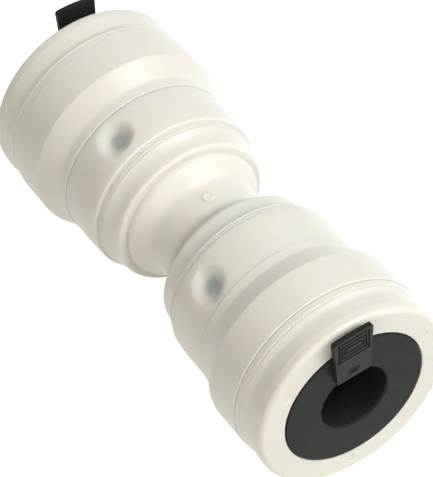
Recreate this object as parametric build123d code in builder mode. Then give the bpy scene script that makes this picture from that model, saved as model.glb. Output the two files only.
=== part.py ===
"""Straight push-to-connect union for 12.7 mm (1/2 in) tube.

Frame: millimetres, origin at the middle of the body on the tube axis, +X out of
the front port, +Z up through the front and rear finger tabs.

Both halves hold the same pieces. Each piece is made once, for the front, and its
rear twin is the same piece turned half a turn about +Z. In the profile sketches
the sketch's x is the distance along the tube axis and its y is the radius.
"""

import os
from math import atan2, cos, radians, sin, sqrt, tan

from build123d import *

# ---------------------------------------------------------------- tube and bores
tube_diameter = 12.7
tube_clearance = 0.1  # radial room round the tube in the guide bores
flow_radius = 4.8  # passage between the two tube stops
static_clearance = 0.05  # radial room between pieces that don't move
running_clearance = 0.08  # radial room round the release collar's sleeve

# ---------------------------------------------------------------- stack along the axis
tube_stop = 10.0  # from the middle to where a tube stops
tube_seat_length = 3.5  # guide between the tube stop and the seal carrier
carrier_floor = 3.0
o_ring_section = 3.4
o_ring_side_room = 0.05  # each side of an O-ring
spacer_thickness = 1.7
gland_thickness = 1.8
support_thickness = 3.0
grab_rim_thickness = 0.5
grab_side_room = 0.05  # each side of the grab ring's rim
guide_thickness = 2.4
plug_depth = 2.0  # of the end cap inside the body's mouth
cap_height = 8.25  # of the end cap in front of the body's mouth
release_proud = 0.15  # the release collar's face stands out of the cap by this
release_travel = 0.75

# ---------------------------------------------------------------- seals
o_ring_squeeze = 0.25  # how far an O-ring reaches inside the tube's radius
carrier_wall = 3.9
washer_clearance = 0.1  # round the tube in spacer and washer, beyond the bore's

# ---------------------------------------------------------------- body outside
barrel_wall = 3.0
barrel_length = 9.45
barrel_taper = 0.2  # radius lost towards the barrel's inner end
barrel_taper_length = 3.0
barrel_end_round = 0.55
spigot_wall = 2.3  # under the locking collar
spigot_length = 13.1
shoulder_step = 0.83  # from the barrel down to the shoulder
shoulder_length = 1.25
shoulder_line_gap = 0.15  # from the barrel's end to the first witness line
shoulder_line_pitch = 0.75
cove_length = 2.9  # hollow curve from the shoulder down to the neck
cove_drop = 1.0
neck_length = 1.3
neck_round = 0.6
neck_step = 1.6
throat_length = 1.1  # straight part behind the neck's step
throat_round = 1.5
waist_radius = 10.4
waist_half_length = 3.3  # to where the straight flank would meet the waist
waist_round = 3.0
line_width = 0.3  # fine witness lines on the mouldings
line_depth = 0.15
snap_height = 0.5  # the ridge that the locking collar snaps over
snap_width = 1.5
snap_offset = 6.3  # from the mouth back to the ridge's middle

# ---------------------------------------------------------------- dimples and gate pip
dimple_count = 2
dimple_radius = 4.05
dimple_setback = 4.3  # from the locking collar to a dimple's middle
dimple_web = 1.5  # wall left under a dimple, thin enough for the seal carrier to show
front_dimple_angle = 43.5  # from +Z towards -Y
rear_dimple_angle = 27.5
pip_radius = 1.05
pip_height = 0.3
pip_wall = 0.35

# ---------------------------------------------------------------- locking collar
collar_wall = 1.45  # outside the groove for the cap's bead
collar_cone_length = 4.3
collar_cone_blend = 1.0
collar_lip_wall = 0.8
collar_lip_length = 1.9
collar_lip_blend = 2.2
collar_edge = 0.4
seam = 0.12  # open line between two mouldings

# ---------------------------------------------------------------- end cap
cap_step = 0.2  # from the locking collar down to the cap
cap_rim_round = 1.1
cap_rim_width = 2.1  # from the face to where the flute begins
flute_depth = 0.45
flute_rise = 1.2  # axial length of the flute's steep side
flute_blend = 2.0
band_length = 1.2
skirt_wall = 1.1
skirt_length = 2.3
bead_height = 0.25
bead_width = 0.8
cap_bore_length = 5.15
gate_mark_count = 3
gate_mark_margin = 1.65  # from the disc's recess to a mark's middle
gate_mark_radius = 0.9
gate_mark_angle = 54.5  # of the first, from +Z towards -Y
gate_mark_depth = 0.15

# ---------------------------------------------------------------- release collar
disc_clearance = 0.15
disc_thickness = 2.6
disc_edge = 0.3
floor_room = 0.25  # left under the disc when it is pressed home
sleeve_wall = 2.15
nose_wall = 0.95
nose_length = 3.25
lip_height = 0.9
lip_width = 0.8
lip_room = 0.1
finger_count = 4
finger_slot = 1.4
finger_slot_length = 8.4
finger_turn = 57  # of the first slot, from +Y towards +Z
bore_lead_in = 0.3

# ---------------------------------------------------------------- finger tab
front_tab_angle = 3.5  # from +Z towards -Y
rear_tab_angle = 4.5  # from +Z towards +Y
tab_foot_width = 6.6
tab_tip_width = 7.7
tab_overhang = 1.1  # beyond the locking collar
tab_crown = 0.25  # how far the tip's edge bows out
tab_foot_step = 0.6  # from the bore's wall out to the tab's foot
tab_foot_height = 0.95  # front of the tab above the disc, at its foot
tab_tip_height = 2.6  # the same, at its tip
tab_thickness = 1.0
tab_corner = 0.5
tab_edge = 0.2
grip_groove_width = 0.4
grip_groove_depth = 0.25
grip_groove_count = 3
grip_side_pitch = 0.55  # from groove to groove across the tab
grip_row_pitch = 0.95  # from groove to groove along the tab
grip_margin = 0.75
grip_length = 5.6
foot_pocket_width = 2.1
foot_pocket_height = 1.8
foot_pocket_depth = 0.4
foot_pocket_margin = 2.1  # from the tab's foot to the pocket's middle

# ---------------------------------------------------------------- grab ring
tooth_bite = 0.25  # how far a tooth's tip reaches inside the tube's radius
tooth_root_radius = 10.0
tooth_lean = 25.0  # degrees inwards from the radial plane
tooth_open_lean = 45.0  # the same, when the release collar folds them open
tooth_count = 12
tooth_gap = 1.0
grab_rim_clearance = 0.3
support_gap = 0.4  # radial room behind the opened teeth

# ---------------------------------------------------------------- worked-out radii
tube_radius = tube_diameter / 2
bore_radius = tube_radius + tube_clearance
washer_radius = bore_radius + washer_clearance
o_ring_inner = tube_radius - o_ring_squeeze
o_ring_centre = o_ring_inner + o_ring_section / 2
o_ring_outer = o_ring_inner + o_ring_section
seal_room_radius = o_ring_outer + static_clearance
carrier_radius = seal_room_radius + carrier_wall
cavity_radius = carrier_radius + static_clearance
insert_radius = cavity_radius - static_clearance  # of rings dropped into the cavity
barrel_radius = cavity_radius + barrel_wall
spigot_radius = cavity_radius + spigot_wall
shoulder_radius = barrel_radius - shoulder_step
neck_radius = shoulder_radius - cove_drop
throat_radius = neck_radius - neck_step
collar_bore = spigot_radius + static_clearance
skirt_outer = collar_bore + skirt_wall
collar_counterbore = skirt_outer + static_clearance
collar_radius = collar_counterbore + bead_height + collar_wall
collar_lip_radius = collar_bore + collar_lip_wall
cap_radius = collar_radius - cap_step
disc_radius = cavity_radius  # the disc is as wide as the cavity behind it
disc_recess = disc_radius + disc_clearance
gate_mark_circle = disc_recess + gate_mark_margin
tab_tip_radius = collar_radius + tab_overhang
tab_foot_radius = bore_radius + tab_foot_step
sleeve_radius = bore_radius + sleeve_wall
nose_radius = bore_radius + nose_wall
lip_radius = sleeve_radius + lip_height
cap_bore = sleeve_radius + running_clearance
relief_radius = lip_radius + 4 * running_clearance
tooth_tip_radius = tube_radius - tooth_bite

# ---------------------------------------------------------------- worked-out places on the axis
o_ring_room = o_ring_section + 2 * o_ring_side_room
cavity_floor = tube_stop + tube_seat_length
inner_seal_at = cavity_floor + carrier_floor
spacer_at = inner_seal_at + o_ring_room
outer_seal_at = spacer_at + spacer_thickness
gland_at = outer_seal_at + o_ring_room
support_at = gland_at + gland_thickness
grab_at = support_at + support_thickness + grab_side_room
guide_at = grab_at + grab_rim_thickness + grab_side_room
plug_at = guide_at + guide_thickness
mouth_at = plug_at + plug_depth
cap_face = mouth_at + cap_height
release_face = cap_face + release_proud
disc_back = release_face - disc_thickness
disc_floor = disc_back - release_travel - floor_room
lip_stop = disc_floor - cap_bore_length
lip_front = lip_stop - lip_room
lip_back = lip_front - lip_width
nose_end = lip_back - lip_height - nose_length
collar_seat = mouth_at - spigot_length
barrel_start = collar_seat - barrel_length
shoulder_start = barrel_start - shoulder_length
cove_start = shoulder_start - cove_length
neck_start = cove_start - neck_length
throat_start = neck_start - throat_length
snap_middle = mouth_at - snap_offset
collar_back = collar_seat + seam
collar_front = mouth_at + seam + line_width
band_back = collar_front + seam
band_front = band_back + band_length
skirt_end = mouth_at - skirt_length
bead_middle = mouth_at - skirt_length / 2


def rect(x_from, x_to, r_from, r_to, mode=Mode.ADD):
    """Draws a rectangle of a half section between two places and two radii."""
    with Locations(((x_from + x_to) / 2, (r_from + r_to) / 2)):
        Rectangle(abs(x_to - x_from), abs(r_to - r_from), mode=mode)


def place_round(x, radius, angle):
    """Gives a point at a radius round the tube axis, at an angle from +Z towards -Y."""
    return (x, -radius * sin(radians(angle)), radius * cos(radians(angle)))


def save(shape, name):
    """Labels a finished piece and writes it as its own STEP file."""
    shape.label = name
    export_step(shape, f"parts/{name}.step")


def save_both(shape, name):
    """Writes the front piece, and its rear twin turned half a turn about +Z."""
    save(shape, f"front_{name}")
    save(shape.rotate(Axis.Z, 180), f"rear_{name}")


os.makedirs("parts", exist_ok=True)

# ================================================================ union body
# From the waist a straight flank climbs to the throat, and a step leads up to the rounded neck.
first_line = barrel_start - shoulder_line_gap - line_width / 2

with BuildPart() as body:
    with BuildSketch(Plane.XY) as body_profile:
        with BuildLine():
            Line((0, 0), (0, waist_radius))
            FilletPolyline(
                (0, waist_radius),
                (waist_half_length, waist_radius),
                (throat_start, throat_radius),
                (neck_start, throat_radius),
                radius=(waist_round, throat_round),
            )
            FilletPolyline(
                (neck_start, throat_radius),
                (neck_start, neck_radius),
                (cove_start, neck_radius),
                radius=neck_round,
            )
            TangentArc((cove_start, neck_radius), (shoulder_start, shoulder_radius), tangent=(1, 0))
            Line((shoulder_start, shoulder_radius), (barrel_start, shoulder_radius))
            FilletPolyline(
                (barrel_start, shoulder_radius),
                (barrel_start, barrel_radius - barrel_taper),
                (barrel_start + barrel_taper_length, barrel_radius),
                radius=barrel_end_round,
            )
            Polyline(
                (barrel_start + barrel_taper_length, barrel_radius),
                (collar_seat, barrel_radius),
                (collar_seat, spigot_radius),
                (mouth_at, spigot_radius),
                (mouth_at, 0),
                (0, 0),
            )
        make_face()
        for line_at in (first_line, first_line - shoulder_line_pitch):
            rect(line_at - line_width / 2, line_at + line_width / 2,
                 shoulder_radius - line_depth, shoulder_radius + line_depth, mode=Mode.SUBTRACT)
        rect(0, tube_stop, 0, flow_radius, mode=Mode.SUBTRACT)
        rect(tube_stop, cavity_floor, 0, bore_radius, mode=Mode.SUBTRACT)
        rect(cavity_floor, mouth_at, 0, cavity_radius, mode=Mode.SUBTRACT)
        with BuildLine():
            Polyline(
                (snap_middle + snap_width / 2, spigot_radius),
                (snap_middle, spigot_radius + snap_height),
                (snap_middle - snap_width / 2, spigot_radius + snap_height),
                (snap_middle - snap_width / 2, spigot_radius),
                close=True,
            )
        make_face()
    revolve(axis=Axis.X)
    mirror(about=Plane.YZ)

    # Each dimple is a ball's hollow that leaves a thin web over the seal carrier.
    dimple_at = collar_seat - dimple_setback
    dimple_depth = barrel_wall - dimple_web
    dimple_ball = (dimple_radius**2 + dimple_depth**2) / (2 * dimple_depth)
    dimple_centre = cavity_radius + dimple_web + dimple_ball
    for side_at, first_angle in ((dimple_at, front_dimple_angle), (-dimple_at, rear_dimple_angle)):
        for turn in range(dimple_count):
            angle = first_angle + turn * 360 / dimple_count
            with Locations(place_round(side_at, dimple_centre, angle)):
                Sphere(dimple_ball, mode=Mode.SUBTRACT)

    # The gate pip is a small raised ring on top of the waist.
    with BuildSketch(Plane.XY.offset(waist_radius - pip_height)):
        Circle(pip_radius)
    extrude(amount=2 * pip_height)
    with BuildSketch(Plane.XY.offset(waist_radius)):
        Circle(pip_radius - pip_wall)
    extrude(amount=pip_height, mode=Mode.SUBTRACT)
save(body.part, "union_body")

# ================================================================ seal carrier and seals
with BuildPart() as carrier:
    with BuildSketch(Plane.XY):
        rect(cavity_floor, support_at, washer_radius, carrier_radius)
        rect(inner_seal_at, support_at, washer_radius, seal_room_radius, mode=Mode.SUBTRACT)
    revolve(axis=Axis.X)
save_both(carrier.part, "seal_carrier")

for name, seat in (("inner_o_ring", inner_seal_at), ("outer_o_ring", outer_seal_at)):
    with BuildPart() as o_ring:
        with BuildSketch(Plane.XY):
            with Locations((seat + o_ring_room / 2, o_ring_centre)):
                Circle(o_ring_section / 2)
        revolve(axis=Axis.X)
    save_both(o_ring.part, name)

with BuildPart() as spacer:
    with BuildSketch(Plane.XY):
        rect(spacer_at, outer_seal_at, washer_radius, o_ring_outer)
    revolve(axis=Axis.X)
save_both(spacer.part, "seal_spacer")

with BuildPart() as gland:
    with BuildSketch(Plane.XY):
        rect(gland_at, support_at, washer_radius, o_ring_outer)
    revolve(axis=Axis.X)
save_both(gland.part, "gland_washer")

# ================================================================ gripping stack
# Along the leaning teeth, the axis is followed inwards by this much per radius lost.
lean = tan(radians(tooth_lean))
tooth_reach = tooth_root_radius - tooth_tip_radius
tooth_skin = grab_rim_thickness / cos(radians(tooth_lean))  # thickness along the axis

with BuildPart() as support:
    with BuildSketch(Plane.XY):
        cone_mouth = tooth_root_radius + support_gap
        cone_throat = cone_mouth - support_thickness / tan(radians(tooth_open_lean))
        with BuildLine():
            Polyline(
                (support_at, cone_throat),
                (support_at + support_thickness, cone_mouth),
                (support_at + support_thickness, insert_radius),
                (support_at, insert_radius),
                close=True,
            )
        make_face()
    revolve(axis=Axis.X)
save_both(support.part, "support_ring")

with BuildPart() as grab:
    with BuildSketch(Plane.XY):
        with BuildLine():
            Polyline(
                (grab_at, cavity_radius - grab_rim_clearance),
                (grab_at, tooth_root_radius),
                (grab_at - lean * tooth_reach, tooth_tip_radius),
                (grab_at - lean * tooth_reach + tooth_skin, tooth_tip_radius),
                (grab_at + grab_rim_thickness, tooth_root_radius),
                (grab_at + grab_rim_thickness, cavity_radius - grab_rim_clearance),
                close=True,
            )
        make_face()
    revolve(axis=Axis.X)
    with BuildSketch(Plane.YZ.offset(grab_at - lean * tooth_reach - grab_rim_thickness)):
        with PolarLocations(tooth_root_radius / 2, tooth_count):
            Rectangle(tooth_root_radius, tooth_gap)
    extrude(amount=lean * tooth_reach + 3 * grab_rim_thickness, mode=Mode.SUBTRACT)
save_both(grab.part, "grab_ring")

with BuildPart() as guide:
    with BuildSketch(Plane.XY):
        rect(guide_at, plug_at, relief_radius, insert_radius)
    revolve(axis=Axis.X)
save_both(guide.part, "tooth_guide")

# ================================================================ locking collar
with BuildPart() as collar:
    cone_end = collar_back + collar_lip_length
    cone_start = cone_end + collar_cone_length
    with BuildSketch(Plane.XY):
        with BuildLine() as collar_outline:
            FilletPolyline(
                (collar_back, collar_lip_radius),
                (cone_end, collar_lip_radius),
                (cone_start, collar_radius),
                (collar_front, collar_radius),
                radius=(collar_lip_blend, collar_cone_blend),
            )
            Polyline(
                (collar_front, collar_radius),
                (collar_front, collar_bore),
                (collar_back, collar_bore),
                (collar_back, collar_lip_radius),
            )
        make_face()
        rect(skirt_end - seam, collar_front, 0, collar_counterbore, mode=Mode.SUBTRACT)
        rect(bead_middle - bead_width / 2 - seam, bead_middle + bead_width / 2 + seam,
             0, collar_counterbore + bead_height, mode=Mode.SUBTRACT)
        rect(snap_middle - snap_width / 2 - seam, snap_middle + snap_width / 2 + seam,
             0, collar_bore + snap_height, mode=Mode.SUBTRACT)
    revolve(axis=Axis.X)
    fillet(
        collar.edges().filter_by(GeomType.CIRCLE).sort_by(SortBy.RADIUS)[-2:].sort_by(Axis.X)[-1:],
        collar_edge,
    )
save_both(collar.part, "locking_collar")

# ================================================================ end cap
with BuildPart() as cap:
    with BuildSketch(Plane.XY):
        flute_back = band_front + line_width
        with BuildLine():
            Line((cap_face, disc_recess), (cap_face, cap_radius - cap_rim_round))
            TangentArc(
                (cap_face, cap_radius - cap_rim_round),
                (cap_face - cap_rim_round, cap_radius),
                tangent=(0, 1),
            )
            Line((cap_face - cap_rim_round, cap_radius), (cap_face - cap_rim_width, cap_radius))
            FilletPolyline(
                (cap_face - cap_rim_width, cap_radius),
                (flute_back + flute_rise, cap_radius - flute_depth),
                (flute_back, cap_radius),
                radius=flute_blend,
            )
            Polyline(
                (flute_back, cap_radius),
                (flute_back, cap_radius - line_depth),
                (band_front, cap_radius - line_depth),
                (band_front, cap_radius),
                (band_back, cap_radius),
                (band_back, skirt_outer),
                (bead_middle + bead_width / 2, skirt_outer),
                (bead_middle, skirt_outer + bead_height),
                (bead_middle - bead_width / 2, skirt_outer),
                (skirt_end, skirt_outer),
                (skirt_end, collar_bore),
                (mouth_at + static_clearance, collar_bore),
                (mouth_at + static_clearance, insert_radius),
                (plug_at, insert_radius),
                (plug_at, relief_radius),
                (lip_stop, relief_radius),
                (lip_stop, cap_bore),
                (disc_floor, cap_bore),
                (disc_floor, disc_recess),
                (cap_face, disc_recess),
            )
        make_face()
    revolve(axis=Axis.X)
    with BuildSketch(Plane.YZ.offset(cap_face)):
        with PolarLocations(gate_mark_circle, gate_mark_count, start_angle=90 + gate_mark_angle):
            Circle(gate_mark_radius)
    extrude(amount=-gate_mark_depth, mode=Mode.SUBTRACT)
save_both(cap.part, "end_cap")

# ================================================================ release collar
# The finger tab leans outwards, from the bore's edge to beyond the cap's rim.
tab_lean = atan2(tab_tip_height - tab_foot_height, tab_tip_radius - tab_foot_radius)
tab_front = Plane(
    origin=(release_face + tab_foot_height, 0, tab_foot_radius),
    x_dir=(0, 1, 0),
    z_dir=(cos(tab_lean), 0, -sin(tab_lean)),
)
tab_length = (tab_tip_radius - tab_foot_radius) / cos(tab_lean)
# Its root stays inside the disc's edge across its whole width.
tab_root_radius = sqrt((disc_radius - disc_edge) ** 2 - (tab_foot_width / 2) ** 2)
rim_height = tab_foot_height + (tab_root_radius - tab_foot_radius) * tan(tab_lean) - tab_thickness

with BuildPart() as tab:
    with BuildSketch(Plane.XZ):
        with BuildLine():
            Polyline(
                (release_face - disc_thickness / 2, tab_foot_radius),
                (release_face + tab_foot_height, tab_foot_radius),
                (release_face + tab_tip_height, tab_tip_radius),
                (release_face + tab_tip_height - tab_thickness, tab_tip_radius),
                (release_face + rim_height, tab_root_radius),
                (release_face - disc_thickness / 2, tab_root_radius),
                close=True,
            )
        make_face()
    extrude(amount=tab_tip_width, both=True)
    with BuildSketch(Plane.YZ.offset(disc_back)) as tab_outline:
        with BuildLine():
            Polyline(
                (-tab_tip_width / 2, tab_tip_radius - tab_crown),
                (-tab_foot_width / 2, tab_foot_radius),
                (tab_foot_width / 2, tab_foot_radius),
                (tab_tip_width / 2, tab_tip_radius - tab_crown),
            )
            ThreePointArc(
                (-tab_tip_width / 2, tab_tip_radius - tab_crown),
                (0, tab_tip_radius),
                (tab_tip_width / 2, tab_tip_radius - tab_crown),
            )
        make_face()
        fillet(tab_outline.vertices().sort_by(Axis.Y)[-2:], tab_corner)
    extrude(amount=2 * disc_thickness + tab_tip_height, mode=Mode.INTERSECT)
    fillet(tab.faces().sort_by(Axis(tab_front.origin, tab_front.z_dir))[-1].edges(), tab_edge)
    with BuildSketch(tab_front):
        with Locations((0, tab_length - grip_margin - grip_length / 2)):
            for ring in range(grip_groove_count):
                ring_width = tab_tip_width - 2 * (grip_margin + ring * grip_side_pitch)
                ring_length = grip_length - 2 * ring * grip_row_pitch
                inner_width = ring_width - 2 * grip_groove_width
                inner_length = ring_length - 2 * grip_groove_width
                Rectangle(ring_width, ring_length)
                Rectangle(inner_width, inner_length, mode=Mode.SUBTRACT)
    extrude(amount=-grip_groove_depth, mode=Mode.SUBTRACT)
    with BuildSketch(tab_front):
        with Locations((0, foot_pocket_margin)):
            SlotOverall(foot_pocket_width, foot_pocket_height)
    extrude(amount=-foot_pocket_depth, mode=Mode.SUBTRACT)

with BuildPart() as release:
    with BuildSketch(Plane.XY):
        with BuildLine():
            Polyline(
                (nose_end, bore_radius),
                (nose_end, nose_radius),
                (lip_back - lip_height, sleeve_radius),
                (lip_back, lip_radius),
                (lip_front, lip_radius),
                (lip_front, sleeve_radius),
                (disc_back, sleeve_radius),
                (disc_back, disc_radius),
                (release_face, disc_radius),
                (release_face, bore_radius + bore_lead_in),
                (release_face - bore_lead_in, bore_radius),
                close=True,
            )
        make_face()
    revolve(axis=Axis.X)
    disc_edges = release.edges().filter_by(GeomType.CIRCLE).group_by(SortBy.RADIUS)[-1]
    fillet(disc_edges, disc_edge)
    with BuildSketch(Plane.YZ.offset(nose_end)):
        with PolarLocations(sleeve_radius, finger_count, start_angle=finger_turn):
            Rectangle(2 * lip_radius - bore_radius, finger_slot)
    extrude(amount=finger_slot_length, mode=Mode.SUBTRACT)
    add(tab.part)
save(release.part.rotate(Axis.X, front_tab_angle), "front_release_collar")
save(release.part.rotate(Axis.X, rear_tab_angle).rotate(Axis.Z, 180), "rear_release_collar")
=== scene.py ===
"""Straight push-to-connect tube union, modelled in full detail and lit for a plain studio view.

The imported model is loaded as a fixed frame. Every piece in view is modelled again here, with soft
edges, witness lines, dimples and grip grooves, and stands for its plain solid. The pieces inside
keep their solids and get finishes of their own.

Lengths held by the classes are in millimetres and the meshes are in metres, in the frame's own
axes: the tube axis is X, the front port looks along +X and the finger tabs point up.
"""

import logging
import math
from collections.abc import Callable
from dataclasses import dataclass, field, replace
from enum import Enum

import bpy
from bpy.types import Material, MeshPolygon, Node, NodeSocket, NodeTree, Object
from mathutils import Matrix, Vector


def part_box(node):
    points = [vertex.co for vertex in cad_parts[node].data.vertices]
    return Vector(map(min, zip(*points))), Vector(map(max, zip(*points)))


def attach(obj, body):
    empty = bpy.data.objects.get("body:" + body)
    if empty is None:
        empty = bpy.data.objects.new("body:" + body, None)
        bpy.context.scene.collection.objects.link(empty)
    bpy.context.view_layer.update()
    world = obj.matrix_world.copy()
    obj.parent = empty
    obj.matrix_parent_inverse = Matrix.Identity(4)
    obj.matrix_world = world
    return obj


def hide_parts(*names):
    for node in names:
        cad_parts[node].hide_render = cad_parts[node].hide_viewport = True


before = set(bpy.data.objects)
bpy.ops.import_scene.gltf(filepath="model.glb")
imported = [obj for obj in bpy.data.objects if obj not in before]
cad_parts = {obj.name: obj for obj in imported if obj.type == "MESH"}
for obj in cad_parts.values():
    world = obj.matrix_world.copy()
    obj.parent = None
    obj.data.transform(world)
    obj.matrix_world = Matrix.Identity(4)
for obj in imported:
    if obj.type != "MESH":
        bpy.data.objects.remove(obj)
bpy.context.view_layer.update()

LOG = logging.getLogger("tube_union")
MM = 0.001
MERGE = 2e-6  # vertices nearer to each other than this, in metres, are one
FACING = 0.9  # a face looks a given way where its normal has at least this much of it
FLAT_FACE_WEIGHT = 60  # how far large flat faces outweigh the small ones round them

Triple = tuple[float, float, float]  # a colour, a place or a direction


class Side(Enum):
    """The two ends of the union, each with the turn about Z that brings a front piece to it."""

    FRONT = ("front", 0.0)
    REAR = ("rear", math.pi)

    @property
    def word(self) -> str:
        """Gives the word that names of pieces and bodies at this end begin with."""
        return self.value[0]

    @property
    def turn(self) -> Matrix:
        """Gives the turn about Z that brings a front piece to this end."""
        return Matrix.Rotation(self.value[1], 4, "Z")


class Cut(Enum):
    """What a cutter does to the piece it meets."""

    AWAY = "DIFFERENCE"
    JOIN = "UNION"


# ---------------- modelling by hand


def deselect() -> None:
    """Leaves nothing selected, so that the next operator acts on its own piece alone."""
    bpy.ops.object.select_all(action="DESELECT")


def take(piece: Object) -> None:
    """Makes one piece the only one selected, and the active one.

    Args:
        piece: The object that the next operators act on.
    """
    deselect()
    piece.select_set(True)
    bpy.context.view_layer.objects.active = piece


def added(name: str) -> Object:
    """Names the primitive that was just added and lays its place into its mesh.

    Args:
        name: The piece's name.

    Returns:
        The piece, with its object at the origin.
    """
    piece = bpy.context.object
    piece.name = name
    piece.data.name = name
    bpy.ops.object.transform_apply(location=True, rotation=True, scale=True)
    return piece


def cut(piece: Object, cutter: Object, how: Cut = Cut.AWAY) -> None:
    """Cuts or joins one piece with another and removes the second.

    Args:
        piece: The piece that stays.
        cutter: The piece that is used up.
        how: Whether the cutter is taken away from the piece or joined to it.
    """
    take(piece)
    modifier = piece.modifiers.new("cut", "BOOLEAN")
    modifier.operation = how.value
    modifier.solver = "EXACT"
    modifier.object = cutter
    bpy.ops.object.modifier_apply(modifier=modifier.name)
    bpy.data.objects.remove(cutter, do_unlink=True)


def soften(piece: Object, width: float, angle: float) -> None:
    """Rounds every edge of a piece that is sharper than an angle, in two facets.

    Args:
        piece: The piece to round.
        width: Width of the rounding, in millimetres.
        angle: Edges that turn by more than this, in degrees, are rounded.
    """
    take(piece)
    modifier = piece.modifiers.new("soften", "BEVEL")
    modifier.width = width * MM
    modifier.segments = 2
    modifier.limit_method = "ANGLE"
    modifier.angle_limit = math.radians(angle)
    modifier.use_clamp_overlap = True
    bpy.ops.object.modifier_apply(modifier=modifier.name)


def smooth(piece: Object, angle: float) -> None:
    """Shades a piece smooth across its soft edges and keeps its flat faces looking flat.

    Args:
        piece: The finished shape.
        angle: Faces that meet at less than this, in degrees, are shaded as one.
    """
    take(piece)
    bpy.ops.object.shade_smooth_by_angle(angle=math.radians(angle))
    modifier = piece.modifiers.new("flat_faces", "WEIGHTED_NORMAL")
    modifier.keep_sharp = True
    modifier.weight = FLAT_FACE_WEIGHT
    bpy.ops.object.modifier_apply(modifier=modifier.name)


def select_faces(piece: Object, wanted: Callable[[MeshPolygon], bool]) -> None:
    """Selects the faces that a test picks, and no others, and stays in edit mode.

    Args:
        piece: The active piece.
        wanted: Tells whether a face is to be selected.
    """
    bpy.ops.object.mode_set(mode="EDIT")
    bpy.ops.mesh.select_all(action="DESELECT")
    bpy.ops.object.mode_set(mode="OBJECT")
    for face in piece.data.polygons:
        face.select = wanted(face)
    bpy.ops.object.mode_set(mode="EDIT")


def extrude(by: Vector) -> None:
    """Extrudes the selected faces by a distance in millimetres."""
    bpy.ops.mesh.extrude_region_move(TRANSFORM_OT_translate={"value": by * MM})


def face_outwards() -> None:
    """Turns every face of the piece in edit mode outwards."""
    bpy.ops.mesh.select_all(action="SELECT")
    bpy.ops.mesh.normals_make_consistent(inside=False)


class Outline:
    """A half section drawn point by point, by distance along the axis and radius."""

    WHOLE_RUN = 0.94  # share of a run that the rounding at its one soft end may take
    SHARED_RUN = 0.47  # share of a run that each rounding may take where both its ends are soft
    ARC_STEP = 20  # degrees of a rounding to one facet
    COVE_FACETS = 10
    LONGEST = 2.2  # runs longer than this, in millimetres, are divided

    def __init__(self, x: float, r: float, soft: float = 0.0) -> None:
        """Starts the outline at a point, whose corner may be softened by a radius."""
        self.corners: list[Triple] = [(x, r, soft)]

    def to(self, x: float, r: float, soft: float = 0.0) -> "Outline":
        """Goes straight to a point.

        Args:
            x: Distance along the axis.
            r: Radius.
            soft: Radius that rounds the corner at this point.

        Returns:
            The outline itself, so that calls can be chained.
        """
        self.corners.append((x, r, soft))
        return self

    def cove(self, x: float, r: float) -> "Outline":
        """Goes to a point along a hollow arc that starts level.

        Args:
            x: Distance along the axis of the arc's end.
            r: Radius at the arc's end.

        Returns:
            The outline itself.
        """
        start_x, start_r, _ = self.corners[-1]
        chord = math.hypot(x - start_x, r - start_r)
        radius = chord * chord / (2 * (r - start_r))
        sweep = 2 * math.asin(chord / (2 * radius))
        for step in range(1, self.COVE_FACETS):
            angle = sweep * step / self.COVE_FACETS
            self.to(start_x + radius * math.sin(angle), start_r + radius * (1 - math.cos(angle)))
        return self.to(x, r)

    def points(self) -> list[Vector]:
        """Rounds the corners and divides the long runs.

        Returns:
            The outline's points in the plane of X and Z, in millimetres.
        """
        rounded: list[Vector] = []
        count = len(self.corners)
        for index, (x, r, soft) in enumerate(self.corners):
            here = Vector((x, r))
            if soft <= 0.0:
                rounded.append(here)
                continue
            last_one, next_one = self.corners[index - 1], self.corners[(index + 1) % count]
            back, ahead = Vector(last_one[:2]) - here, Vector(next_one[:2]) - here
            half = back.angle(ahead) / 2
            free = [
                run.length * (self.SHARED_RUN if end[2] > 0.0 else self.WHOLE_RUN)
                for run, end in ((back, last_one), (ahead, next_one))
            ]
            reach = min(soft / math.tan(half), *free)
            radius = reach * math.tan(half)
            bisector = (back.normalized() + ahead.normalized()).normalized()
            middle = here + bisector * (radius / math.sin(half))
            first = here + back.normalized() * reach - middle
            last = here + ahead.normalized() * reach - middle
            steps = max(2, math.ceil(math.degrees(first.angle(last)) / self.ARC_STEP))
            turn = first.angle_signed(last)
            for step in range(steps + 1):
                rounded.append(middle + Matrix.Rotation(-turn * step / steps, 2) @ first)
        divided: list[Vector] = []
        for start, end in zip(rounded, rounded[1:] + rounded[:1]):
            parts = max(1, math.ceil((end - start).length / self.LONGEST))
            divided += [start.lerp(end, part / parts) for part in range(parts)]
        return [Vector((spot.x, 0, spot.y)) for spot in divided]


def drawn(name: str, points: list[Vector], closed: bool = True) -> Object:
    """Draws a line from one vertex, point by point, and stays in edit mode.

    Args:
        name: The piece's name.
        points: The line's points, in millimetres.
        closed: Whether the last point is joined to the first.

    Returns:
        The piece, with the whole line selected.
    """
    deselect()
    bpy.ops.mesh.primitive_plane_add(size=MM)
    piece = added(name)
    bpy.ops.object.mode_set(mode="EDIT")
    bpy.ops.mesh.select_all(action="SELECT")
    bpy.ops.mesh.merge(type="CENTER")
    bpy.ops.transform.translate(value=points[0] * MM)
    for start, end in zip(points, points[1:]):
        bpy.ops.mesh.extrude_vertices_move(
            TRANSFORM_OT_translate={"value": (end - start) * MM}
        )
    if closed:
        bpy.ops.mesh.select_all(action="DESELECT")
        bpy.ops.object.mode_set(mode="OBJECT")
        for vertex in (piece.data.vertices[0], piece.data.vertices[-1]):
            vertex.select = True
        bpy.ops.object.mode_set(mode="EDIT")
        bpy.ops.mesh.edge_face_add()
    bpy.ops.mesh.select_all(action="SELECT")
    return piece


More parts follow.
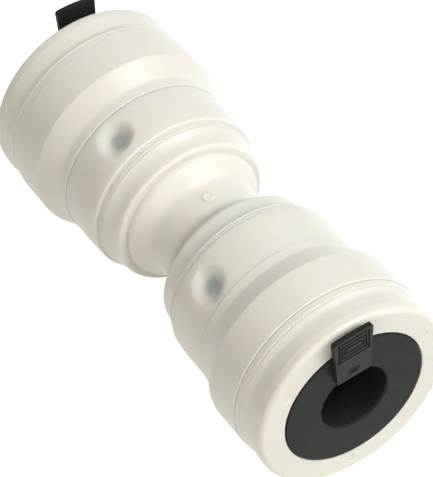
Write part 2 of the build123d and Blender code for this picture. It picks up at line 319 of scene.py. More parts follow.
def spun(piece: Object, segments: int) -> Object:
    """Spins the line in edit mode all round the tube axis and closes the shape.

    Args:
        piece: The piece being edited, with its line selected.
        segments: Facets round the axis.

    Returns:
        The piece, back in object mode.
    """
    bpy.ops.mesh.spin(steps=segments, angle=2 * math.pi, center=(0, 0, 0), axis=(1, 0, 0))
    bpy.ops.mesh.select_all(action="SELECT")
    bpy.ops.mesh.remove_doubles(threshold=MERGE)
    face_outwards()
    bpy.ops.object.mode_set(mode="OBJECT")
    return piece


def copied(piece: Object, name: str, place: Matrix) -> Object:
    """Copies a finished piece, mesh and all, to another place.

    Args:
        piece: The piece to copy.
        name: The copy's name.
        place: The move from the piece to the copy.

    Returns:
        The copy.
    """
    twin = piece.copy()
    twin.data = piece.data.copy()
    twin.name = name
    twin.data.name = name
    twin.data.transform(place)
    bpy.context.scene.collection.objects.link(twin)
    return twin


# ---------------- finishes


class MaterialBench:
    """One material in the making, with the steps that several finishes share."""

    def __init__(self, name: str) -> None:
        """Starts a material with nothing but its shader and the piece's own coordinates.

        Args:
            name: The material's name.
        """
        self.material = bpy.data.materials.new(name)
        self.material.use_nodes = True
        self.tree = self.material.node_tree
        self.shader = self.tree.nodes["Principled BSDF"]
        self.place = self.tree.nodes.new("ShaderNodeTexCoord").outputs["Object"]

    def noise(self, place: NodeSocket, scale: float, detail: float) -> NodeSocket:
        """Adds a noise over the piece.

        Args:
            place: The coordinates that the noise reads.
            scale: Cells to one unit of the coordinates.
            detail: Finer layers added to it.

        Returns:
            The noise's value.
        """
        noise = self.tree.nodes.new("ShaderNodeTexNoise")
        noise.inputs["Scale"].default_value = scale
        noise.inputs["Detail"].default_value = detail
        self.tree.links.new(place, noise.inputs["Vector"])
        return noise.outputs["Fac"]

    def mix(self, share: NodeSocket, second: Triple) -> Node:
        """Adds a mix that drifts to a second colour.

        Args:
            share: How much of the second colour there is.
            second: The second colour.

        Returns:
            The mix, whose first colour is still to be given.
        """
        mix = self.tree.nodes.new("ShaderNodeMix")
        mix.data_type = "RGBA"
        self.tree.links.new(share, mix.inputs["Factor"])
        mix.inputs["B"].default_value = (*second, 1)
        return mix

    def gloss(self, noise: NodeSocket, low: float, high: float) -> None:
        """Lets a noise move the roughness between two values.

        Args:
            noise: The noise's value.
            low: Least roughness.
            high: Greatest roughness.
        """
        gloss = self.tree.nodes.new("ShaderNodeMapRange")
        gloss.inputs["To Min"].default_value = low
        gloss.inputs["To Max"].default_value = high
        self.tree.links.new(noise, gloss.inputs["Value"])
        self.tree.links.new(gloss.outputs["Result"], self.shader.inputs["Roughness"])

    def relief(self, noise: NodeSocket, height: float) -> None:
        """Raises the surface by a noise.

        Args:
            noise: The noise's value.
            height: Height of the relief, in millimetres.
        """
        bump = self.tree.nodes.new("ShaderNodeBump")
        bump.inputs["Strength"].default_value = 1.0
        bump.inputs["Distance"].default_value = height * MM
        self.tree.links.new(noise, bump.inputs["Height"])
        self.tree.links.new(bump.outputs["Normal"], self.shader.inputs["Normal"])


@dataclass(frozen=True)
class Moulding:
    """A moulded plastic or rubber, mottled in colour and faintly uneven in gloss and surface.

    Attributes:
        name: The material's name.
        colour: Main colour.
        second: Colour that the mottling drifts to.
        roughness: Middle roughness.
        spread: How far the roughness drifts either way.
        grain: Size of the surface grain, in millimetres.
        relief: Height of the surface grain, in millimetres.
        depth: How deep light goes in, in millimetres, or 0 for none.
        specular: Specular level.
        behind: Colour of what shows through the piece's thin webs, where it has any; the same
            colour is also laid over each dimple's dish as painted shade.
    """

    MOTTLE_CELLS = 140.0  # to a metre
    GLOSS_CELLS = 420.0  # to a metre
    SCATTER = (1.0, 0.82, 0.6)  # how much of the depth red, green and blue light go

    name: str
    colour: Triple
    second: Triple
    roughness: float
    spread: float
    grain: float
    relief: float
    depth: float = 0.0
    specular: float = 0.5
    behind: Triple | None = None

    def made(self) -> Material:
        """Builds the material.

        Returns:
            The material, with its nodes linked.
        """
        bench = MaterialBench(self.name)
        shader = bench.shader
        shader.inputs["Specular IOR Level"].default_value = self.specular
        if self.depth > 0:
            shader.inputs["Subsurface Weight"].default_value = 1.0
            shader.inputs["Subsurface Radius"].default_value = self.SCATTER
            shader.inputs["Subsurface Scale"].default_value = self.depth * MM
        tint = bench.mix(bench.noise(bench.place, self.MOTTLE_CELLS, 3.0), self.second)
        tint.inputs["A"].default_value = (*self.colour, 1)
        # The attribute mixes in the colour behind the thin webs, and also painted shade that
        # darkens each dimple's dish.
        if self.behind:
            web = bench.tree.nodes.new("ShaderNodeAttribute")
            web.attribute_name = UnionShell.WEB
            plain, tint = tint, bench.mix(web.outputs["Fac"], self.behind)
            bench.tree.links.new(plain.outputs["Result"], tint.inputs["A"])
        bench.tree.links.new(tint.outputs["Result"], shader.inputs["Base Color"])
        gloss = bench.noise(bench.place, self.GLOSS_CELLS, 2.0)
        bench.gloss(gloss, self.roughness - self.spread, self.roughness + self.spread)
        bench.relief(bench.noise(bench.place, 1 / MM / self.grain, 3.0), self.relief)
        return bench.material


@dataclass(frozen=True)
class SpringSteel:
    """Rolled stainless strip, with fine lines round the ring.

    Attributes:
        name: The material's name.
        colour: Colour of the metal.
        lines: How far the noise is squeezed along and across the axis.
        noise_scale: Cells to one unit of the squeezed coordinates.
        gloss: Least and greatest roughness.
        relief: Height of the lines, in millimetres.
    """

    name: str
    colour: Triple
    lines: Triple = (400, 2600, 2600)
    noise_scale: float = 5.0
    gloss: tuple[float, float] = (0.22, 0.42)
    relief: float = 0.004

    def made(self) -> Material:
        """Builds the material.

        Returns:
            The material, with its nodes linked.
        """
        bench = MaterialBench(self.name)
        bench.shader.inputs["Base Color"].default_value = (*self.colour, 1)
        bench.shader.inputs["Metallic"].default_value = 1.0
        squeeze = bench.tree.nodes.new("ShaderNodeMapping")
        squeeze.inputs["Scale"].default_value = self.lines
        bench.tree.links.new(bench.place, squeeze.inputs["Vector"])
        noise = bench.noise(squeeze.outputs["Vector"], self.noise_scale, 2.0)
        bench.gloss(noise, *self.gloss)
        bench.relief(noise, self.relief)
        return bench.material


# Its behind colour shows through the dimples' thin floors and is also painted over the dishes as
# shade.
MILKY = Moulding(
    "milky_fluoropolymer", (0.755, 0.738, 0.69), second=(0.79, 0.778, 0.738),
    roughness=0.34, spread=0.05, grain=0.6, relief=0.006, depth=2.0, behind=(0.40, 0.45, 0.46),
)
MILKY_THIN = replace(MILKY, name="milky_collar_moulding", depth=0.5)
CHARCOAL = Moulding(
    "charcoal_moulding", (0.009, 0.012, 0.0105), second=(0.016, 0.020, 0.018),
    roughness=0.5, spread=0.06, grain=0.35, relief=0.006, specular=0.1,
)
CARTRIDGE = Moulding(
    "cartridge_moulding", (0.060, 0.066, 0.066), second=(0.075, 0.080, 0.080),
    roughness=0.45, spread=0.06, grain=0.5, relief=0.004,
)
NATURAL = Moulding(
    "undyed_moulding", (0.60, 0.57, 0.50), second=(0.66, 0.63, 0.57),
    roughness=0.42, spread=0.05, grain=0.5, relief=0.004, depth=0.8,
)
RUBBER = Moulding(
    "seal_rubber", (0.012, 0.012, 0.013), second=(0.02, 0.02, 0.02),
    roughness=0.55, spread=0.08, grain=0.25, relief=0.004,
)
STEEL = SpringSteel("rolled_stainless", (0.62, 0.61, 0.59))


# ---------------- the pieces


@dataclass
class Piece:
    """What every modelled piece shares: a finish, its record slot and how it is shaded.

    Attributes:
        material: The finish, built once and shared.
        slot: The record's material slot; it is not used.
        crease: Faces that meet at less than this, in degrees, are shaded as one.
        segments: Facets round the tube axis.
    """

    material: Material
    slot: str
    crease: float = 38.0
    segments: int = 240

    def outline(self) -> Outline:
        """Draws the piece's half section, which each piece says for itself."""
        raise NotImplementedError

    def turned(self, name: str) -> Object:
        """Draws the half section from one vertex and spins it round the tube axis."""
        return spun(drawn(name, self.outline().points()), self.segments)

    def settle(self, piece: Object, body: str, node: str) -> None:
        """Dresses a finished piece and gives it its place in the frame.

        Args:
            piece: The finished piece.
            body: The body that it moves with.
            node: The solid that it stands for.
        """
        piece.data.materials.clear()
        piece.data.materials.append(self.material)
        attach(piece, body)
        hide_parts(node)
        low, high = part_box(node)
        LOG.info(
            "%s: %d faces, stands for %s, %.1f mm long",
            piece.name, len(piece.data.polygons), node, (high.x - low.x) / MM,
        )

    def settle_pair(self, front: Object, node: str) -> None:
        """Settles a fixed front piece and its rear twin.

        Args:
            front: The finished front piece.
            node: The solids that the two stand for, without the word for the end.
        """
        self.settle(front, "union", f"{Side.FRONT.word}_{node}")
        rear = copied(front, front.name.replace("front", "rear"), Side.REAR.turn)
        self.settle(rear, "union", f"{Side.REAR.word}_{node}")


@dataclass
class UnionShell(Piece):
    """The white moulded body: two barrels with dimples, two shoulders and the waist between."""

    # Attribute that holds the dark spot behind each dimple's thin floor and the painted shade over
    # its dish.
    WEB = "web"

    mouth: float = 35.0
    spigot_radius: float = 15.8
    collar_seat: float = 21.9
    barrel_radius: float = 16.5
    barrel_start: float = 12.45
    barrel_taper: float = 0.2
    barrel_taper_length: float = 3.0
    barrel_end_round: float = 0.55
    barrel_foot_round: float = 0.08
    seat_round: float = 0.15
    mouth_round: float = 0.2
    line_width: float = 0.3
    line_depth: float = 0.15
    line_edge: float = 0.06
    line_floor_edge: float = 0.05
    lines: tuple[float, float] = (11.25, 12.0)
    shoulder_radius: float = 15.67
    shoulder_start: float = 11.2
    cove_start: float = 8.3
    neck_radius: float = 14.67
    neck_start: float = 7.0
    neck_round: float = 0.6
    neck_foot_round: float = 0.12
    throat_radius: float = 13.07
    throat_start: float = 5.9
    throat_round: float = 1.5
    waist_radius: float = 10.4
    waist_half: float = 3.3
    waist_round: float = 3.0
    half_start: float = 0.4
    cavity_radius: float = 13.5
    cavity_floor: float = 13.5
    bore_radius: float = 6.45
    tube_stop: float = 10.0
    flow_radius: float = 4.8
    ridge_middle: float = 28.7
    ridge_width: float = 1.5
    ridge_height: float = 0.5
    dimple_radius: float = 4.05
    dimple_middle: float = 17.6
    dimple_count: int = 2
    dimple_angles: dict[Side, float] = field(
        default_factory=lambda: {Side.FRONT: 43.5, Side.REAR: 27.5}
    )
    dimple_floor: float = 15.0
    dimple_flat: float = 0.7
    dimple_rings: int = 24
    dimple_segments: int = 64
    dimple_flare: tuple[tuple[float, float], ...] = ((0.3, 0.01), (0.75, 0.15), (0.75, 3.0))
    web_spot: float = 1.5
    web_blur: float = 0.22
    # Strength of the painted shade that darkens each dimple's dish towards its middle.
    web_veil: float = 0.24
    web_margin: float = 0.1
    pip_radius: float = 1.05
    pip_height: float = 0.3
    pip_wall: float = 0.35
    pip_floor: float = 0.08
    pip_root: float = 0.9
    pip_edge: float = 0.08
    pip_crease: float = 50.0
    pip_segments: int = 48

    def outline(self) -> Outline:
        """Draws the body's half section, out from the middle, in, and back along the other half.

        Returns:
            The closed half section.
        """
        line = self._half()
        for x, r, soft in line.corners[::-1]:
            line.to(-x, r, soft)
        return line

    def _half(self) -> Outline:
        """Draws the front half, from the waist's outside to the passage's wall.

        Returns:
            The open half section.
        """
        shoulder, groove = self.shoulder_radius, self.shoulder_radius - self.line_depth
        ridge, top = self.ridge_width / 2, self.spigot_radius + self.ridge_height
        front = Outline(self.half_start, self.waist_radius)
        front.to(self.waist_half, self.waist_radius, self.waist_round)
        front.to(self.throat_start, self.throat_radius, self.throat_round)
        front.to(self.neck_start, self.throat_radius, self.neck_foot_round)
        front.to(self.neck_start, self.neck_radius, self.neck_round)
        front.to(self.cove_start, self.neck_radius)
        front.cove(self.shoulder_start, shoulder)
        for line in self.lines:
            front.to(line, shoulder, self.line_edge).to(line, groove, self.line_floor_edge)
            front.to(line + self.line_width, groove, self.line_floor_edge)
            front.to(line + self.line_width, shoulder, self.line_edge)
        front.to(self.barrel_start, shoulder, self.barrel_foot_round)
        front.to(self.barrel_start, self.barrel_radius - self.barrel_taper, self.barrel_end_round)
        front.to(self.barrel_start + self.barrel_taper_length, self.barrel_radius)
        front.to(self.collar_seat, self.barrel_radius, self.seat_round)
        front.to(self.collar_seat, self.spigot_radius)
        front.to(self.ridge_middle - ridge, self.spigot_radius)
        front.to(self.ridge_middle - ridge, top).to(self.ridge_middle, top)
        front.to(self.ridge_middle + ridge, self.spigot_radius)
        front.to(self.mouth, self.spigot_radius, self.mouth_round)
        front.to(self.mouth, self.cavity_radius, self.mouth_round)
        front.to(self.cavity_floor, self.cavity_radius)
        front.to(self.cavity_floor, self.bore_radius)
        front.to(self.tube_stop, self.bore_radius)
        front.to(self.tube_stop, self.flow_radius, self.mouth_round)
        front.to(self.half_start, self.flow_radius)
        return front

    def spots(self) -> list[Vector]:
        """Lists the way in which each dimple looks, with its place along the tube axis as X.

        Returns:
            A place in millimetres as X, and a direction of length one as Y and Z.
        """
        found = []
        for side, first in self.dimple_angles.items():
            along = self.dimple_middle if side is Side.FRONT else -self.dimple_middle
            for turn in range(self.dimple_count):
                angle = math.radians(first + turn * 360 / self.dimple_count)
                found.append(Vector((along, -math.sin(angle), math.cos(angle))))
        return found

    def dimple_cutter(self) -> Object:
        """Models the hollow of one dimple: a soft dish whose rim fades into the barrel.

        The dish's axis is the tube axis while it is modelled. It is then wrapped round the
        barrel, so that the rim is as soft all the way round.

        Returns:
            The cutter, with its height along X.
        """
        floor, top = self.dimple_floor, self.barrel_radius
        line = [Vector((floor, 0, 0))]
        for ring in range(self.dimple_rings + 1):
            share = ring / self.dimple_rings
            out = self.dimple_flat + (self.dimple_radius - self.dimple_flat) * share
            rise = 0.5 - 0.5 * math.cos(math.pi * share)
            line.append(Vector((floor + (top - floor) * rise, 0, out)))
        for out, up in self.dimple_flare:
            line.append(Vector((top + up, 0, self.dimple_radius + out)))
        line.append(Vector((line[-1].x, 0, 0)))
        cutter = spun(drawn("dimple", line, closed=False), self.dimple_segments)
        for vertex in cutter.data.vertices:
            across = vertex.co.y / MM
            vertex.co.x -= (top - math.sqrt(top * top - across * across)) * MM
        return cutter

    def press_dimples(self, piece: Object) -> None:
        """Cuts the round dimples into the barrels.

        Args:
            piece: The turned body.
        """
        master = self.dimple_cutter()
        cutters = []
        along = Vector((1, 0, 0))
        for spot in self.spots():
            out = Vector((0, spot.y, spot.z))
            place = Matrix((out, along.cross(out), along)).transposed()
            place = Matrix.Translation((spot.x * MM, 0, 0)) @ place.to_4x4()
            cutters.append(copied(master, "dimple", place))
        bpy.data.objects.remove(master, do_unlink=True)
        take(cutters[0])
        for cutter in cutters:
            cutter.select_set(True)
        bpy.ops.object.join()
        cut(piece, bpy.context.object)

    def mark_webs(self, piece: Object) -> None:
        """Marks the dark spot of each dimple's thin floor, and paints shade over the dish round it,
        for the finish to read.

        Args:
            piece: The finished body.
        """
        shown = []
        spots = self.spots()
        for vertex in piece.data.vertices:
            place = vertex.co / MM
            value = 0.0
            for spot in spots:
                along = place.x - spot.x
                level = place.y * spot.y + place.z * spot.z
                apart = math.hypot(along, place.y * spot.z - place.z * spot.y)
                if level > self.cavity_radius + self.web_margin and apart < self.dimple_radius:
                    dark = 1 / (1 + math.exp((apart - self.web_spot) / self.web_blur))
                    # Painted shade: darkens the whole dish towards its middle, as if shade lay in
                    # the hollow.
                    painted_shade = 0.5 + 0.5 * math.cos(math.pi * (apart / self.dimple_radius) ** 2)
                    value = dark + (1 - dark) * self.web_veil * painted_shade
            shown.append(value)
        web = piece.data.attributes.new(self.WEB, "FLOAT", "POINT")
        web.data.foreach_set("value", shown)

    def add_pip(self, piece: Object) -> None:
        """Joins the small raised ring of the gate to the top of the waist.

        Args:
            piece: The turned body.
        """
        deselect()
        middle = self.waist_radius + (self.pip_height - self.pip_root) / 2
        bpy.ops.mesh.primitive_cylinder_add(
            vertices=self.pip_segments, radius=self.pip_radius * MM,
            depth=(self.pip_height + self.pip_root) * MM, location=(0, 0, middle * MM),
        )
        pip = added("gate_pip")
        select_faces(pip, lambda face: face.normal.z > FACING)
        bpy.ops.mesh.inset(thickness=self.pip_wall * MM)
        extrude(Vector((0, 0, self.pip_floor - self.pip_height)))
        bpy.ops.object.mode_set(mode="OBJECT")
        soften(pip, self.pip_edge, self.pip_crease)
        cut(piece, pip, Cut.JOIN)

    def build(self) -> None:
        """Builds the whole body."""
        piece = self.turned("union_shell")
        self.press_dimples(piece)
        self.add_pip(piece)
        smooth(piece, self.crease)
        self.mark_webs(piece)
        self.settle(piece, "union", "union_body")


@dataclass
class LockingSleeve(Piece):
    """The white sleeve that is snapped over a barrel's mouth: cylinder, cone and thin lip."""

    back: float = 22.02
    lip_radius: float = 16.65
    lip_length: float = 1.9
    lip_edge: float = 0.12
    cone_length: float = 4.3
    cone_foot_round: float = 2.2
    cone_top_round: float = 1.0
    radius: float = 18.7
    front: float = 35.42
    front_edge: float = 0.2
    bore: float = 15.85
    channel_radius: float = 16.35
    channel_back: float = 27.9
    counterbore: float = 17.0
    counterbore_back: float = 32.58
    inner_edge: float = 0.1

    def outline(self) -> Outline:
        """Draws the sleeve's half section.

        Returns:
            The closed half section.
        """
        cone_end = self.back + self.lip_length
        line = Outline(self.back, self.bore, self.inner_edge)
        line.to(self.back, self.lip_radius, self.lip_edge)
        line.to(cone_end, self.lip_radius, self.cone_foot_round)
        line.to(cone_end + self.cone_length, self.radius, self.cone_top_round)
        line.to(self.front, self.radius, self.front_edge)
        for x, r in (
            (self.front, self.counterbore),
            (self.counterbore_back, self.counterbore),
            (self.counterbore_back, self.channel_radius),
            (self.channel_back, self.channel_radius),
            (self.channel_back, self.bore),
        ):
            line.to(x, r, self.inner_edge)
        return line

    def build(self) -> None:
        """Builds the front sleeve and its rear twin."""
        front = self.turned("front_locking_sleeve")
        smooth(front, self.crease)
        self.settle_pair(front, "locking_collar")


@dataclass
class PortCap(Piece):
    """The white cap that closes a barrel and guides the release button."""

    plug: float = 33.0
    mouth: float = 35.05
    face: float = 43.25
    radius: float = 18.5
    rim_round: float = 1.1
    rim_back_round: float = 0.6
    rim_width: float = 2.1
    flute_depth: float = 0.45
    flute_rise: float = 1.2
    flute_round: float = 2.0
    flute_edge: float = 0.12
    band_back: float = 35.54
    band_back_edge: float = 0.08
    band_front: float = 36.74
    band_front_edge: float = 0.1
    line_width: float = 0.3
    line_depth: float = 0.15
    line_floor_edge: float = 0.05
    skirt_outer: float = 16.95
    skirt_end: float = 32.7
    skirt_inner: float = 15.85
    insert_radius: float = 13.45
    relief_radius: float = 9.82
    lip_stop: float = 34.65
    bore: float = 8.68
    bore_edge: float = 0.1
    recess_floor: float = 39.8
    recess_radius: float = 13.65
    inner_edge: float = 0.15
    mark_circle: float = 15.3
    mark_radius: float = 0.9
    mark_depth: float = 0.15
    mark_angle: float = 54.5
    mark_count: int = 3
    mark_segments: int = 40

    def outline(self) -> Outline:
        """Draws the cap's half section.

        Returns:
            The closed half section.
        """
        flute_back = self.band_front + self.line_width
        groove, inner = self.radius - self.line_depth, self.inner_edge
        line = Outline(self.face, self.recess_radius, inner)
        line.to(self.face, self.radius, self.rim_round)
        line.to(self.face - self.rim_width, self.radius, self.rim_back_round)
        line.to(flute_back + self.flute_rise, self.radius - self.flute_depth, self.flute_round)
        line.to(flute_back, self.radius, self.flute_edge)
        line.to(flute_back, groove, self.line_floor_edge)
        line.to(self.band_front, groove, self.line_floor_edge)
        line.to(self.band_front, self.radius, self.band_front_edge)
        line.to(self.band_back, self.radius, self.band_back_edge)
        line.to(self.band_back, self.skirt_outer).to(self.skirt_end, self.skirt_outer, inner)
        line.to(self.skirt_end, self.skirt_inner).to(self.mouth, self.skirt_inner)
        line.to(self.mouth, self.insert_radius).to(self.plug, self.insert_radius, inner)
        line.to(self.plug, self.relief_radius).to(self.lip_stop, self.relief_radius)
        line.to(self.lip_stop, self.bore, self.bore_edge)
        line.to(self.recess_floor, self.bore, self.bore_edge)
        line.to(self.recess_floor, self.recess_radius, inner)
        return line

    def build(self) -> None:
        """Builds the front cap with its gate marks, and its rear twin."""
        front = self.turned("front_port_cap")
        middle = Vector((self.face, 0, self.mark_circle))
        for index in range(self.mark_count):
            angle = math.radians(self.mark_angle + 360 * index / self.mark_count)
            deselect()
            bpy.ops.mesh.primitive_cylinder_add(
                vertices=self.mark_segments,
                radius=self.mark_radius * MM,
                depth=2 * self.mark_depth * MM,
                location=Matrix.Rotation(angle, 3, "X") @ middle * MM,
                rotation=(0, math.pi / 2, 0),
            )
            cut(front, added("gate_mark"))
        smooth(front, self.crease)
        self.settle_pair(front, "end_cap")


@dataclass
class ReleaseButton(Piece):
    """The charcoal release collar: disc, slotted sleeve and the finger tab with its grip."""

    face: float = 43.4
    disc_radius: float = 13.5
    disc_back: float = 40.8
    disc_edge: float = 0.3
    bore: float = 6.45
    bore_edge: float = 0.08
    lead_in: float = 0.3
    lead_in_round: float = 0.15
    sleeve_radius: float = 8.6
    sleeve_round: float = 0.2
    lip_radius: float = 9.5
    lip_front: float = 34.55
    lip_front_edge: float = 0.1
    lip_back: float = 33.75
    lip_taper: float = 0.9
    lip_taper_round: float = 0.3
    nose_end: float = 29.6
    nose_radius: float = 7.4
    nose_edges: tuple[float, float] = (0.15, 0.1)
    slot_width: float = 1.4
    slot_length: float = 8.4
    slot_overrun: float = 2.0
    slot_turn: float = 57.0
    tab_angles: dict[Side, float] = field(
        default_factory=lambda: {Side.FRONT: 3.5, Side.REAR: 4.5}
    )
    tab_foot_width: float = 6.6
    tab_tip_width: float = 7.7
    tab_foot: float = 7.05
    tab_tip: float = 19.6
    tab_crown: float = 0.25
    tab_corner: float = 0.5
    tab_corner_steps: int = 9
    tab_crown_steps: int = 8
    tab_foot_height: float = 0.95
    tab_tip_height: float = 2.57
    tab_thickness: float = 1.0
    tab_root: float = 12.8
    tab_edge: float = 0.15
    tab_crease: float = 45.0
    groove_width: float = 0.4
    groove_depth: float = 0.25
    groove_count: int = 3
    side_pitch: float = 0.55
    row_pitch: float = 0.95
    grip_margin: float = 0.75
    grip_length: float = 5.6
    pocket_width: float = 2.1
    pocket_height: float = 1.8
    pocket_depth: float = 0.4
    pocket_margin: float = 2.1
    pocket_segments: int = 40
    segments: int = 192
    crease: float = 32.0

    def outline(self) -> Outline:
        """Draws the half section of the disc and its sleeve.

        Returns:
            The closed half section.
        """
        outer, inner = self.nose_edges
        line = Outline(self.face, self.bore + self.lead_in, self.bore_edge)
        line.to(self.face, self.disc_radius, self.disc_edge)
        line.to(self.disc_back, self.disc_radius, self.disc_edge)
        line.to(self.disc_back, self.sleeve_radius, self.sleeve_round)
        line.to(self.lip_front, self.sleeve_radius)
        line.to(self.lip_front, self.lip_radius, self.lip_front_edge)
        line.to(self.lip_back, self.lip_radius, self.sleeve_round)
        line.to(self.lip_back - self.lip_taper, self.sleeve_radius, self.lip_taper_round)
        line.to(self.nose_end, self.nose_radius, outer).to(self.nose_end, self.bore, inner)
        line.to(self.face - self.lead_in, self.bore, self.lead_in_round)
        return line

    def slot_sleeve(self, piece: Object) -> None:
        """Cuts the sleeve into fingers with two crossed slabs.

        Args:
            piece: The turned disc and sleeve.
        """
        middle = self.nose_end + (self.slot_length - self.slot_overrun) / 2
        for turn in (self.slot_turn, self.slot_turn - 90):
            deselect()
            bpy.ops.mesh.primitive_cube_add(
                size=MM,
                location=(middle * MM, 0, 0),
                rotation=(math.radians(turn), 0, 0),
                scale=(
                    self.slot_length + self.slot_overrun,
                    self.slot_width,
                    2 * self.lip_radius + self.slot_overrun,
                ),
            )
            cut(piece, added("slot"))

    def tab_height(self, r: float) -> float:
        """Gives how far the tab's front stands above the disc's face at a radius."""
        rise = self.tab_tip_height - self.tab_foot_height
        return self.tab_foot_height + rise * (r - self.tab_foot) / (self.tab_tip - self.tab_foot)

    def tip_drop(self, y: float) -> float:
        """Gives how far the tip's edge lies below its crown.

        Args:
            y: Place across the tab.

        Returns:
            The drop, in millimetres.
        """
        half = self.tab_tip_width / 2
        drop = self.tab_crown * (y / half) ** 2
        inside = abs(y) - (half - self.tab_corner)
        if inside > 0:
            drop += self.tab_corner - math.sqrt(max(0.0, self.tab_corner**2 - inside**2))
        return drop

    def tab_outline(self) -> list[Vector]:
        """Lists the points round the tab's leaning front, from one foot corner to the other.

        Returns:
            The points, in millimetres, on the tab's front.
        """
        half = self.tab_tip_width / 2
        inner = half - self.tab_corner
        corner, crown = self.tab_corner_steps, self.tab_crown_steps
        quarter = [math.pi / 2 * step / corner for step in range(corner, 0, -1)]
        across = [inner + self.tab_corner * math.sin(angle) for angle in quarter]
        across += [inner * step / crown for step in range(crown, 0, -1)]
        across = across + [0.0] + [-y for y in reversed(across)]
        top = [(y, self.tab_tip - self.tip_drop(y)) for y in across]
        foot = self.tab_foot_width / 2
        bottom = [(-foot, self.tab_foot), (foot, self.tab_foot)]
        return [Vector((self.face + self.tab_height(z), y, z)) for y, z in top + bottom]

    def tab(self) -> Object:
        """Models the finger tab from its front outline.

        Returns:
            The tab, leaning as it stands on the disc, before its grip is cut.
        """
        piece = drawn("finger_tab", self.tab_outline())
        bpy.ops.mesh.edge_face_add()
        back = Vector((-self.tab_thickness, 0, 0))
        root = self.tab_root * MM
        extrude(back)
        face_outwards()
        bpy.ops.mesh.bisect(plane_co=(0, 0, root), plane_no=(0, 0, 1))
        select_faces(piece, lambda face: face.normal.x < -FACING and face.center.z < root)
        extrude(back)
        bpy.ops.object.mode_set(mode="OBJECT")
        return piece

    def cut_grip(self, piece: Object) -> None:
        """Cuts the nested grooves and the small pocket into the tab's leaning front.

        Args:
            piece: The tab.
        """
        rise = self.tab_tip_height - self.tab_foot_height
        lean = math.atan2(rise, self.tab_tip - self.tab_foot)
        up = Vector((math.sin(lean), 0, math.cos(lean)))
        out = Vector((math.cos(lean), 0, -math.sin(lean)))
        front = Matrix((Vector((0, 1, 0)), up, out)).transposed()
        foot = Vector((self.face + self.tab_foot_height, 0, self.tab_foot))
        length = (self.tab_tip - self.tab_foot) / math.cos(lean)
        middle = foot + up * (length - self.grip_margin - self.grip_length / 2)
        for ring in range(self.groove_count):
            deselect()
            bpy.ops.mesh.primitive_plane_add(
                size=MM, location=(middle - out * self.groove_depth) * MM,
                rotation=front.to_euler(),
            )
            bpy.context.object.scale = (
                self.tab_tip_width - 2 * (self.grip_margin + ring * self.side_pitch),
                self.grip_length - 2 * ring * self.row_pitch,
                1,
            )
            groove = added("groove")
            bpy.ops.object.mode_set(mode="EDIT")
            bpy.ops.mesh.select_all(action="SELECT")
            bpy.ops.mesh.inset(thickness=self.groove_width * MM)
            bpy.ops.mesh.delete(type="FACE")
            bpy.ops.mesh.select_all(action="SELECT")
            extrude(out * 2 * self.groove_depth)
            face_outwards()
            bpy.ops.object.mode_set(mode="OBJECT")
            cut(piece, groove)
        soften(piece, self.tab_edge, self.tab_crease)
        deselect()
        bpy.ops.mesh.primitive_uv_sphere_add(
            segments=self.pocket_segments,
            ring_count=self.pocket_segments // 2,
            radius=self.pocket_width / 2 * MM,
            location=(foot + up * self.pocket_margin) * MM,
            rotation=front.to_euler(),
        )
        bpy.context.object.scale = (
            1, self.pocket_height / self.pocket_width, 2 * self.pocket_depth / self.pocket_width
        )
        cut(piece, added("pocket"))

    def build(self) -> None:
        """Builds the front button and its rear twin."""
        master = self.turned("release_button")
        self.slot_sleeve(master)
        tab = self.tab()
        self.cut_grip(tab)
        cut(master, tab, Cut.JOIN)
        smooth(master, self.crease)
        for side in Side:
            turn = Matrix.Rotation(math.radians(self.tab_angles[side]), 4, "X")
            piece = copied(master, f"{side.word}_release_button", side.turn @ turn)
            self.settle(piece, f"{side.word}_release", f"{side.word}_release_collar")
        bpy.data.objects.remove(master, do_unlink=True)


@dataclass
class InnerParts:
    """The pieces inside each barrel, which keep their solids and only get their finishes.

    Attributes:
        finishes: Each finish, with the last part of the name of every node that has it.
    """

    finishes: dict[Moulding | SpringSteel, tuple[str, ...]]

    def dress(self) -> None:
        """Dresses every inner piece at both ends."""
        for finish, words in self.finishes.items():
            material = finish.made()
            for name in (f"{side.word}_{word}" for side in Side for word in words):
                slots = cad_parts[name].data.materials
                slots.clear()
                slots.append(material)
                LOG.info("%s: finished as %s", name, material.name)


# ---------------- the studio


@dataclass(frozen=True)
class Lamp:
    """A square soft light that faces the union.

    Attributes:
        name: The light's name.
        place: Where it hangs, in metres.
        size: Length of its side, in metres.
        power: Its power, in watts.
        colour: Its colour.
    """

    name: str
    place: Triple
    size: float
    power: float
    colour: Triple

    def hang(self) -> None:
        """Hangs the light."""
        deselect()
        bpy.ops.object.light_add(type="AREA", location=self.place)
        light = bpy.context.object
        light.name = self.name
        light.data.shape = "SQUARE"
        light.data.size = self.size
        light.data.energy = self.power
        light.data.color = self.colour
        light.rotation_euler = (-Vector(self.place)).to_track_quat("-Z", "Y").to_euler()


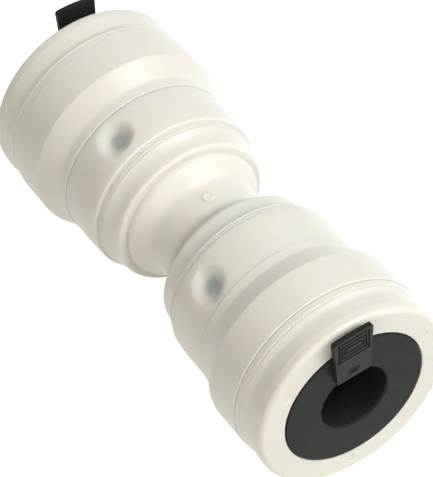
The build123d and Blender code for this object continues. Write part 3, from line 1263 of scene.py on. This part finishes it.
@dataclass
class Studio:
    """A pale floor, soft light and the camera."""

    WHITE = (1.0, 1.0, 1.0)
    WARM = (1.0, 0.945, 0.82)
    LAMPS = (
        Lamp("key_light", (0.36, 0.38, 0.72), size=0.7, power=8.0, colour=WHITE),
        Lamp("side_light", (0.6, -0.5, 0.55), size=0.6, power=2.9, colour=WARM),
    )

    floor_level: float = -18.7
    floor_width: float = 4000.0
    floor_colour: Triple = (0.8, 0.8, 0.8)
    floor_glow: float = 0.82
    sensor: float = 36.0
    lens: float = 228.73
    sight: tuple[float, float] = (10.0, 20000.0)
    camera_place: Triple = (305.56, -164.20, 391.88)
    camera_right: Triple = (0.5383, 0.8402, -0.0661)
    camera_up: Triple = (-0.6086, 0.4418, 0.6591)
    white: float = 1.0
    ambient: float = 0.17
    ambient_tint: Triple = (1.0, 0.93, 0.76)

    def seen(self, tree: NodeTree) -> NodeSocket:
        """Tells rays that show a surface, straight, mirrored or through, from lighting ones.

        Args:
            tree: The node tree that needs to know.

        Returns:
            A socket that is one for such rays and nought for the others.
        """
        path = tree.nodes.new("ShaderNodeLightPath")
        total = path.outputs["Is Camera Ray"]
        for word in ("Is Glossy Ray", "Is Transmission Ray"):
            add = tree.nodes.new("ShaderNodeMath")
            add.operation = "ADD"
            add.use_clamp = True
            tree.links.new(total, add.inputs[0])
            tree.links.new(path.outputs[word], add.inputs[1])
            total = add.outputs["Value"]
        return total

    def floor(self) -> None:
        """Lays the floor, which looks white to the camera and keeps the union's shadow."""
        deselect()
        bpy.ops.mesh.primitive_plane_add(
            size=self.floor_width * MM, location=(0, 0, self.floor_level * MM)
        )
        floor = added("floor")
        material = bpy.data.materials.new("studio_floor")
        material.use_nodes = True
        tree = material.node_tree
        tree.nodes.clear()
        output = tree.nodes.new("ShaderNodeOutputMaterial")
        paint = tree.nodes.new("ShaderNodeBsdfDiffuse")
        paint.inputs["Color"].default_value = (*self.floor_colour, 1)
        glow = tree.nodes.new("ShaderNodeEmission")
        glow.inputs["Color"].default_value = (*self.WHITE, 1)
        lift = tree.nodes.new("ShaderNodeMath")
        lift.operation = "MULTIPLY"
        lift.inputs[1].default_value = self.floor_glow
        tree.links.new(self.seen(tree), lift.inputs[0])
        tree.links.new(lift.outputs["Value"], glow.inputs["Strength"])
        both = tree.nodes.new("ShaderNodeAddShader")
        tree.links.new(paint.outputs["BSDF"], both.inputs[0])
        tree.links.new(glow.outputs["Emission"], both.inputs[1])
        tree.links.new(both.outputs["Shader"], output.inputs["Surface"])
        floor.data.materials.append(material)

    def world(self) -> None:
        """Lights everything evenly from all round and shows white behind the floor."""
        world = bpy.data.worlds.new("studio_world")
        bpy.context.scene.world = world
        world.use_nodes = True
        tree = world.node_tree
        ground = tree.nodes["Background"]
        tint = tree.nodes.new("ShaderNodeMix")
        tint.data_type = "RGBA"
        tree.links.new(self.seen(tree), tint.inputs["Factor"])
        tint.inputs["A"].default_value = (*self.ambient_tint, 1)
        tint.inputs["B"].default_value = (*self.WHITE, 1)
        tree.links.new(tint.outputs["Result"], ground.inputs["Color"])
        strength = tree.nodes.new("ShaderNodeMapRange")
        strength.inputs["To Min"].default_value = self.ambient
        strength.inputs["To Max"].default_value = self.white
        tree.links.new(self.seen(tree), strength.inputs["Value"])
        tree.links.new(strength.outputs["Result"], ground.inputs["Strength"])

    def camera(self) -> None:
        """Sets up the camera."""
        deselect()
        bpy.ops.object.camera_add()
        camera = bpy.context.object
        camera.name = "view"
        right, up = Vector(self.camera_right).normalized(), Vector(self.camera_up).normalized()
        aim = Matrix((right, up, right.cross(up))).transposed().to_4x4()
        camera.matrix_world = Matrix.Translation(Vector(self.camera_place) * MM) @ aim
        camera.data.sensor_width = self.sensor
        camera.data.lens = self.lens
        camera.data.clip_start, camera.data.clip_end = (limit * MM for limit in self.sight)
        bpy.context.scene.camera = camera

    def clear(self) -> None:
        """Removes the objects that a new scene starts with."""
        for name in ("Cube", "Light", "Camera"):
            if name in bpy.data.objects:
                bpy.data.objects.remove(bpy.data.objects[name], do_unlink=True)

    def build(self) -> None:
        """Builds the whole studio."""
        self.clear()
        self.floor()
        self.world()
        for lamp in self.LAMPS:
            lamp.hang()
        self.camera()
        bpy.context.scene.view_settings.view_transform = "Standard"


def main() -> None:
    """Builds the studio and every piece of the union, in order."""
    logging.basicConfig(level=logging.INFO, format="%(name)s: %(message)s")
    Studio().build()
    UnionShell(MILKY.made(), "white_plastic").build()
    thin = MILKY_THIN.made()
    LockingSleeve(thin, "white_plastic").build()
    PortCap(thin, "white_plastic").build()
    ReleaseButton(CHARCOAL.made(), "charcoal_plastic").build()
    InnerParts(
        {
            CARTRIDGE: ("seal_carrier",),
            RUBBER: ("inner_o_ring", "outer_o_ring"),
            NATURAL: ("seal_spacer", "gland_washer", "support_ring", "tooth_guide"),
            STEEL: ("grab_ring",),
        }
    ).dress()


if __name__ == "__main__":
    main()
